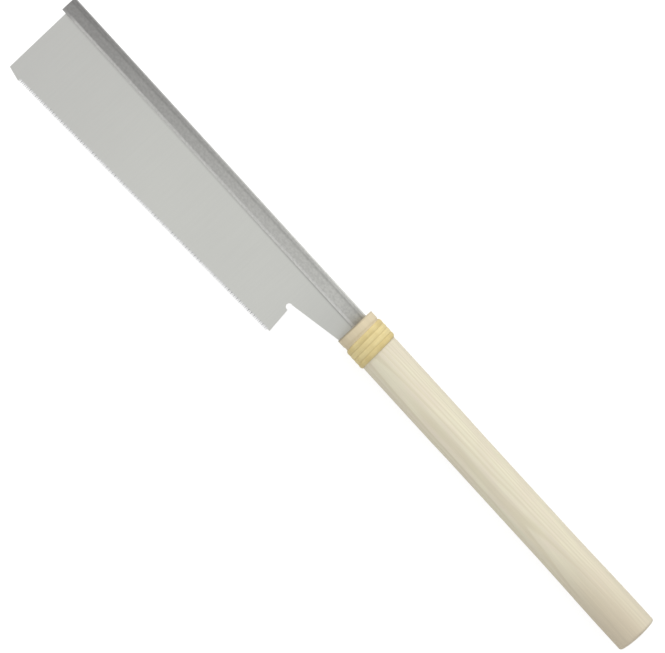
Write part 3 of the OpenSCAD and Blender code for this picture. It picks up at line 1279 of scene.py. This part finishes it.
    def mark_teeth(self, plate: Piece) -> None:
        """Marks the sloping faces that the file left on the teeth, and the sides that the set bent outwards.

        Args:
            plate: The finished plate.
        """
        for attribute, least, most in (
            (FILED_FACES, self.upright_limit, self.filed_limit),
            (BENT_FACES, self.filed_limit, self.bent_limit),
        ):
            marks = plate.data.attributes.new(attribute, "FLOAT", "FACE")
            for face in plate.data.polygons:
                marks.data[face.index].value = float(least < abs(face.normal.z) < most)

    def dress(self, plate: Piece) -> None:
        """Gives the plate its ground steel."""
        self.mark_teeth(plate)
        hand_over(plate, Body.BLADE, PLATE_FINISH.material(), "blade_plate")


@dataclass
class Spine:
    """The steel strip folded over the plate's upper edge and pinched on it."""

    bevel: float = 0.0019
    lip: float = 0.0015
    crown: float = 0.003
    slot: float = 0.00032
    softness: float = 0.00015
    softness_steps: int = 3
    soft_angle: float = math.radians(25)
    smooth_angle: float = math.radians(35)

    def build(self) -> Piece:
        """Models the spine.

        Returns:
            The finished mesh.
        """
        low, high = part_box("spine")
        spine = add_folded_bar("spine_fold", low, high, self.bevel, self.lip)
        slot_low = Vector((low.x - PAST, low.y + self.crown, -self.slot / 2))
        slot_high = Vector((high.x + PAST, high.y + PAST, self.slot / 2))
        cut(spine, add_box("slot_tool", slot_low, slot_high))
        apply(
            spine,
            "BEVEL",
            width=self.softness,
            segments=self.softness_steps,
            limit_method="ANGLE",
            angle_limit=self.soft_angle,
        )
        close_up(spine)
        smooth(spine, self.smooth_angle)
        return spine

    def dress(self, spine: Piece) -> None:
        """Gives the spine its brushed steel."""
        hand_over(spine, Body.BLADE, SPINE_FINISH.material(), "spine")


@dataclass
class RattanBinding:
    """One strip of half-round rattan wound round the handle, with both ends bent down into the wood."""

    turns: int = 4
    turn_gap: float = 0.00002
    thickness: float = 0.0012
    inner_radius: float = 0.01416
    crown: float = 0.00026
    outer_crown: float = 0.00082
    crown_steps: int = 10
    row_tolerance: float = 0.01
    bend: float = 0.0009
    tuck: float = 0.0033
    steps: int = 96
    bend_steps: int = 5
    clearance: float = 0.00005
    smooth_angle: float = math.radians(40)

    def __post_init__(self) -> None:
        """Takes the winding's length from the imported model, and spreads the turns over it."""
        self.low, self.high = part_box("rattan_binding")
        length = self.high.x - self.low.x
        self.width = (length - self.turns * self.turn_gap) / (self.turns + 1)
        self.pitch = self.width + self.turn_gap
        self.rear = self.low.x + self.width / 2
        self.front = self.high.x - self.width / 2
        self.outer_radius = self.inner_radius + self.thickness
        self.bend_centre = Vector((0, 0, self.bend - self.inner_radius))
        self.hole_reach = self.bend + self.thickness + self.clearance

    def on_strip(self, place: Vector) -> Pair:
        """Finds a place on the strip.

        Args:
            place: A point of the winding.

        Returns:
            How far it lies across the strip, from -1 at the rear edge to 1 at the front edge, and how many
            turns it lies from the rear end.
        """
        share = math.atan2(place.y, -place.z) / (2 * math.pi)
        turn = round((place.x - self.rear) / self.pitch - share) + share
        return 2 * (place.x - self.rear - turn * self.pitch) / self.width, turn

    def crown_row(self, side: int, step: float, first_turn: int) -> Test:
        """Makes a test for one row of the crown's vertices along one turn.

        Args:
            side: 1 for the strip's front half and -1 for its rear half.
            step: How far the row lies from the strip's middle, where 1 is its edge.
            first_turn: How many turns from the rear end the row starts.

        Returns:
            The test.
        """

        def test(co: Vector) -> bool:
            """Picks a vertex by its place on the strip.

            Args:
                co: The vertex's place.

            Returns:
                Whether it is picked.
            """
            across, turn = self.on_strip(co)
            outside = math.hypot(co.y, co.z) > self.inner_radius + TOUCH
            in_row = abs(side * across - step) < self.row_tolerance
            return outside and in_row and first_turn <= turn <= first_turn + 1

        return test

    def wind(self) -> Piece:
        """Winds the strip's section round the handle.

        Returns:
            The open tube of the winding.
        """
        section = [Vector((self.rear + self.width / 2, 0, -self.inner_radius))]
        for step in range(self.crown_steps + 1):
            across = 1 - 2 * step / self.crown_steps
            drop = self.crown * across**2
            section.append(Vector((self.rear + across * self.width / 2, 0, drop - self.outer_radius)))
        section.append(Vector((self.rear - self.width / 2, 0, -self.inner_radius)))
        strip = draw_line("rattan_winding", section + section[:1])
        apply(
            strip,
            "SCREW",
            axis="X",
            angle=2 * math.pi,
            screw_offset=self.pitch,
            iterations=self.turns,
            steps=self.steps,
            render_steps=self.steps,
            use_merge_vertices=False,
        )
        return strip

    def thin_outer_edges(self, strip: Piece) -> None:
        """Draws the outer edges of the first and the last turn down on the wood.

        Args:
            strip: The winding.
        """
        with editing(strip):
            for number in range(1, self.crown_steps // 2 + 1):
                step = 2 * number / self.crown_steps
                old_radius = self.outer_radius - self.crown * step**2
                factor = (self.outer_radius - self.outer_crown * step**2) / old_radius
                for side, first_turn in ((-1, 0), (1, self.turns - 1)):
                    choose(strip, self.crown_row(side, step, first_turn))
                    bpy.ops.transform.resize(value=(1, factor, factor), center_override=(0, 0, 0))

    def tuck_end(self, strip: Piece, middle: float, turn: int) -> None:
        """Bends one end of the strip into the wood and closes it.

        Args:
            strip: The winding.
            middle: X of the strip's middle at that end.
            turn: The way the end goes on before it dips, 1 towards the spine and -1 towards the teeth.
        """

        def at_end(edge: Edge) -> bool:
            """Picks the open edge of the winding at that end."""
            return edge.is_boundary and all(abs(vert.co.x - middle) < self.width for vert in edge.verts)

        with editing(strip):
            choose_edges(strip, at_end)
            bpy.ops.mesh.spin(
                steps=self.bend_steps,
                angle=turn * math.pi / 2,
                center=self.bend_centre,
                axis=(1, 0, 0),
            )
            extrude(Vector((0, 0, self.tuck)))
            bpy.ops.mesh.edge_face_add()

    def unroll(self, strip: Piece) -> None:
        """Lays a UV map on the strip that runs across it and along it, in widths of the strip.

        Args:
            strip: The finished binding.
        """
        form = bmesh.new()
        form.from_mesh(strip.data)
        strip_map = form.loops.layers.uv.verify()
        widths_per_turn = 2 * math.pi * self.outer_radius / self.width
        for face in form.faces:
            for corner in face.loops:
                across, turn = self.on_strip(corner.vert.co)
                corner[strip_map].uv = ((across + 1) / 2, turn * widths_per_turn)
        form.to_mesh(strip.data)
        form.free()

    def build(self) -> Piece:
        """Models the binding.

        Returns:
            The finished mesh.
        """
        strip = self.wind()
        self.thin_outer_edges(strip)
        self.tuck_end(strip, self.rear, 1)
        self.tuck_end(strip, self.front, -1)
        close_up(strip)
        smooth(strip, self.smooth_angle)
        self.unroll(strip)
        return strip

    def dress(self, strip: Piece) -> None:
        """Gives the binding its cane skin."""
        hand_over(strip, Body.HANDLE, CaneSkin().material(), "rattan_binding")


@dataclass
class Handle:
    """The round softwood handle: two halves, glued on the blade's plane round a pocket for the blade."""

    butt_straight: float = 0.016
    butt_flat: float = 0.005
    butt_crown: float = 0.036
    butt_rounding: float = 0.002
    waist_radius: float = 0.0140
    waist_start: float = 0.085
    waist_end: float = 0.160
    neck_radius: float = 0.0142
    neck_run: float = 0.030
    seat_radius: float = 0.0141
    seat_margin: float = 0.00005
    stub_radius: float = 0.0145
    mouth_rounding: float = 0.0004
    glue_line: float = 0.00008
    slot_clearance: float = 0.0001
    bed_clearance: float = 0.00005
    socket_sheet: float = 0.0008
    ease_steps: int = 24
    rounding_steps: int = 8
    turning_steps: int = 64
    smooth_angle: float = math.radians(30)

    def outline(self, binding: RattanBinding) -> list[Vector]:
        """The turned outline from the butt's face to the mouth's face, above the axis.

        Args:
            binding: The binding whose seat is turned into the handle.

        Returns:
            Points in the plane Z = 0.
        """
        low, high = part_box("handle_left_half")
        butt_radius = high.y
        points: list[Vector] = []

        def add(x: float, radius: float) -> None:
            """Adds a point of the outline."""
            points.append(Vector((x, radius, 0)))

        def ease(start: float, start_radius: float, end: float, end_radius: float) -> None:
            """Adds a smooth swell from one radius to another.

            Args:
                start: X of its start.
                start_radius: The radius there.
                end: X of its end.
                end_radius: The radius there.
            """
            for step in range(self.ease_steps + 1):
                share = step / self.ease_steps
                swell = (1 - math.cos(math.pi * share)) / 2
                add(start + (end - start) * share, start_radius + (end_radius - start_radius) * swell)

        def arc(x: float, radius: float, size: float, start: float, end: float) -> None:
            """Adds an arc.

            Args:
                x: X of its centre.
                radius: Distance of its centre from the axis.
                size: The arc's own radius.
                start: The angle of its start, where 0 points to the butt.
                end: The angle of its end, where 180 degrees point to the mouth.
            """
            for step in range(self.rounding_steps + 1):
                angle = start + (end - start) * step / self.rounding_steps
                add(x - size * math.cos(angle), radius + size * math.sin(angle))

        crown = self.butt_crown
        corner = self.butt_rounding
        crown_angle = math.asin((butt_radius - corner - self.butt_flat) / (crown - corner))
        shoulder = low.x + crown - (crown - corner) * math.cos(crown_angle)
        arc(low.x + crown, self.butt_flat, crown, 0.0, crown_angle)
        points.pop()
        arc(shoulder, butt_radius - corner, corner, crown_angle, math.pi / 2)
        ease(shoulder + self.butt_straight, butt_radius, self.waist_start, self.waist_radius)
        ease(self.waist_end, self.waist_radius, self.waist_end + self.neck_run, self.neck_radius)
        seat_start = binding.low.x - self.seat_margin
        seat_end = binding.high.x + self.seat_margin
        add(seat_start, self.neck_radius)
        add(seat_start, self.seat_radius)
        add(seat_end, self.seat_radius)
        add(seat_end, self.stub_radius)
        rim = self.mouth_rounding
        arc(high.x - rim, self.stub_radius - rim, rim, math.pi / 2, math.pi)
        return points

    def turn_half(self, side: Side, binding: RattanBinding) -> Piece:
        """Turns one half of the handle and eases the edge of its glue face.

        Args:
            side: Which half.
            binding: The binding whose seat is turned into the handle.

        Returns:
            The closed half, without its pocket.
        """
        points = self.outline(binding)
        half = draw_line("handle_half_" + side.name.lower(), points)
        with editing(half):
            bpy.ops.mesh.select_all(action="SELECT")
            bpy.ops.mesh.spin(
                steps=self.turning_steps,
                angle=-side.value * math.pi,
                center=(0, 0, 0),
                axis=(1, 0, 0),
            )
            for end in (points[0].x, points[-1].x):
                choose(half, lambda co: abs(co.x - end) < TOUCH)
                bpy.ops.mesh.edge_face_add()
            choose_edges(half, lambda edge: edge.is_boundary)
            bpy.ops.mesh.edge_face_add()
            bpy.ops.mesh.bevel(offset=self.glue_line, segments=1, affect="EDGES")
        close_up(half)
        return half

    def pocket_tools(self, plate: SawPlate, spine: Spine) -> list[Piece]:
        """Makes the tools that hollow the handle for the spine, the socket and the tang.

        Args:
            plate: The plate whose tang goes into the handle.
            spine: The spine that goes into the socket.

        Returns:
            The tools.
        """
        gap = self.slot_clearance
        reach = plate.mouth + PAST
        spine_low, spine_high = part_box("spine")
        slot_low = spine_low - Vector((gap, gap, gap))
        slot_high = Vector((reach, spine_high.y + gap, spine_high.z + gap))
        slot = add_folded_bar("spine_slot_tool", slot_low, slot_high, spine.bevel, spine.lip + 2 * gap)

        bed = self.bed_clearance
        socket_low, socket_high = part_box("blade_socket")
        room = Vector((bed, bed, bed))
        bed_half = spine_high.z + bed + self.socket_sheet + bed
        bed_low = Vector((socket_low.x - bed, socket_low.y - bed, -bed_half))
        bed_high = Vector((socket_high.x + bed, socket_high.y + bed, bed_half))
        bed_tool = add_folded_bar("socket_bed_tool", bed_low, bed_high, 0, 0)
        flange_low = Vector((socket_low.x, socket_high.y - self.socket_sheet, socket_low.z)) - room
        flange_tool = add_box("flange_tool", flange_low, socket_high + room)

        tang_rear = plate.low.x - gap
        slit = add_quad(
            "tang_slit_tool",
            [
                Vector((tang_rear, plate.low.y - gap, 0)),
                Vector((reach, plate.low.y - gap, 0)),
                Vector((reach, plate.tang_edge(PAST) + gap, 0)),
                Vector((tang_rear, plate.tang_edge(plate.low.x - plate.mouth) + gap, 0)),
            ],
        )
        apply(slit, "SOLIDIFY", thickness=plate.thickness + 2 * gap, offset=0.0)
        return [slot, bed_tool, flange_tool, slit]

    def strip_holes(self, binding: RattanBinding) -> list[Piece]:
        """Makes the tools for the two holes that take the ends of the binding.

        Args:
            binding: The binding.

        Returns:
            The tools.
        """
        floor = binding.bend_centre.z + binding.tuck + binding.clearance
        half = binding.width / 2 + binding.clearance
        tools = []
        for middle, start in ((binding.rear, -binding.hole_reach), (binding.front, 0.0)):
            low = Vector((middle - half, start, -self.stub_radius - PAST))
            high = Vector((middle + half, start + binding.hole_reach, floor))
            tools.append(add_box("strip_hole_tool", low, high))
        return tools

    def build(self, side: Side, plate: SawPlate, spine: Spine, binding: RattanBinding) -> Piece:
        """Models one half of the handle.

        Args:
            side: Which half.
            plate: The plate that goes into the pocket.
            spine: The spine that goes into the pocket.
            binding: The binding round the handle.

        Returns:
            The finished mesh.
        """
        half = self.turn_half(side, binding)
        tools = self.pocket_tools(plate, spine)
        if side is Side.RIGHT:
            tools += self.strip_holes(binding)
        for tool in tools:
            close_up(tool)
            cut(half, tool)
        close_up(half)
        smooth(half, self.smooth_angle)
        return half

    def dress(self, half: Piece, side: Side, wood: Material) -> None:
        """Gives one half its wood."""
        hand_over(half, Body.HANDLE, wood, f"handle_{side.name.lower()}_half")


@dataclass
class BladeSocket:
    """The folded sleeve in the handle that grips the spine, which stays as it was packed."""

    node: str = "blade_socket"

    def dress(self) -> None:
        """Gives the socket its rolled steel."""
        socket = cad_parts[self.node]
        for slot in socket.material_slots:
            slot.material = SOCKET_FINISH.material()
        LOG.info("%s stays as it was packed", socket.name)


@dataclass
class Studio:
    """A pale floor, soft light from the spine's side and a camera that looks straight down."""

    floor_size: float = 12.0
    floor_gap: float = 0.0002
    camera_place: Triple = (0.2814, 0.0107, 3.5)
    camera_turn: float = math.radians(227.56)
    lens: float = 292.97
    sensor: float = 36.0
    key_place: Triple = (2.8, -2.3, 2.2)
    key_target: Triple = (0.30, 0.0, 0.0)
    key_size: Pair = (2.8, 2.8)
    key_power: float = 74.0
    sky_stops: tuple[Pair, ...] = (
        (0.0, 1.10),
        (0.35, 0.92),
        (0.60, 0.67),
        (0.80, 0.61),
        (0.92, 0.67),
        (1.0, 0.74),
    )

    def lay_floor(self) -> None:
        """Lays the floor just under the handle."""
        lowest = CAD_BOX[0][2] - self.floor_gap
        deselect_everything()
        bpy.ops.mesh.primitive_plane_add(size=self.floor_size, location=(self.camera_place[0], 0, lowest))
        floor = settle("floor")
        floor.data.materials.append(PaleFloor().material())

    def light_sky(self) -> None:
        """Lights the world from the horizon to the zenith."""
        world = bpy.data.worlds.new("studio_sky")
        world.use_nodes = True
        bpy.context.scene.world = world
        nodes = world.node_tree.nodes
        links = world.node_tree.links
        direction = nodes.new("ShaderNodeTexCoord")
        height = nodes.new("ShaderNodeSeparateXYZ")
        ramp = nodes.new("ShaderNodeValToRGB")
        ramp.color_ramp.interpolation = "EASE"
        stops = ramp.color_ramp.elements
        while len(stops) < len(self.sky_stops):
            stops.new(1.0)
        for stop, (position, level) in zip(stops, self.sky_stops):
            stop.position = position
            stop.color = (level, level, level, 1.0)
        links.new(direction.outputs["Generated"], height.inputs["Vector"])
        links.new(height.outputs["Z"], ramp.inputs["Fac"])
        links.new(ramp.outputs["Color"], nodes["Background"].inputs["Color"])

    def hang_key(self) -> None:
        """Hangs the softbox on the spine's side. It lights the wood and isn't mirrored in the steel."""
        place = Vector(self.key_place)
        aim = (Vector(self.key_target) - place).to_track_quat("-Z", "Y").to_euler()
        deselect_everything()
        bpy.ops.object.light_add(type="AREA", location=place, rotation=aim)
        key = bpy.context.active_object
        key.name = "softbox"
        key.visible_glossy = False
        key.data.shape = "RECTANGLE"
        key.data.size, key.data.size_y = self.key_size
        key.data.energy = self.key_power

    def set_camera(self) -> None:
        """Sets the camera above the saw."""
        deselect_everything()
        bpy.ops.object.camera_add(location=self.camera_place, rotation=(0, 0, self.camera_turn))
        camera = bpy.context.active_object
        camera.data.lens = self.lens
        camera.data.sensor_width = self.sensor
        bpy.context.scene.camera = camera

    def set_up(self) -> None:
        """Sets up the whole studio."""
        self.lay_floor()
        self.light_sky()
        self.hang_key()
        self.set_camera()
        bpy.context.scene.view_settings.view_transform = "Standard"


def main() -> None:
    """Builds and dresses the saw piece by piece, and sets up the studio."""
    logging.basicConfig(level=logging.INFO, format="%(message)s")
    plate = SawPlate()
    plate.dress(plate.build())
    spine = Spine()
    spine.dress(spine.build())
    binding = RattanBinding()
    binding.dress(binding.build())
    handle = Handle()
    wood = Softwood().material()
    for side in Side:
        handle.dress(handle.build(side, plate, spine, binding), side, wood)
    BladeSocket().dress()
    Studio().set_up()


if __name__ == "__main__":
    main()
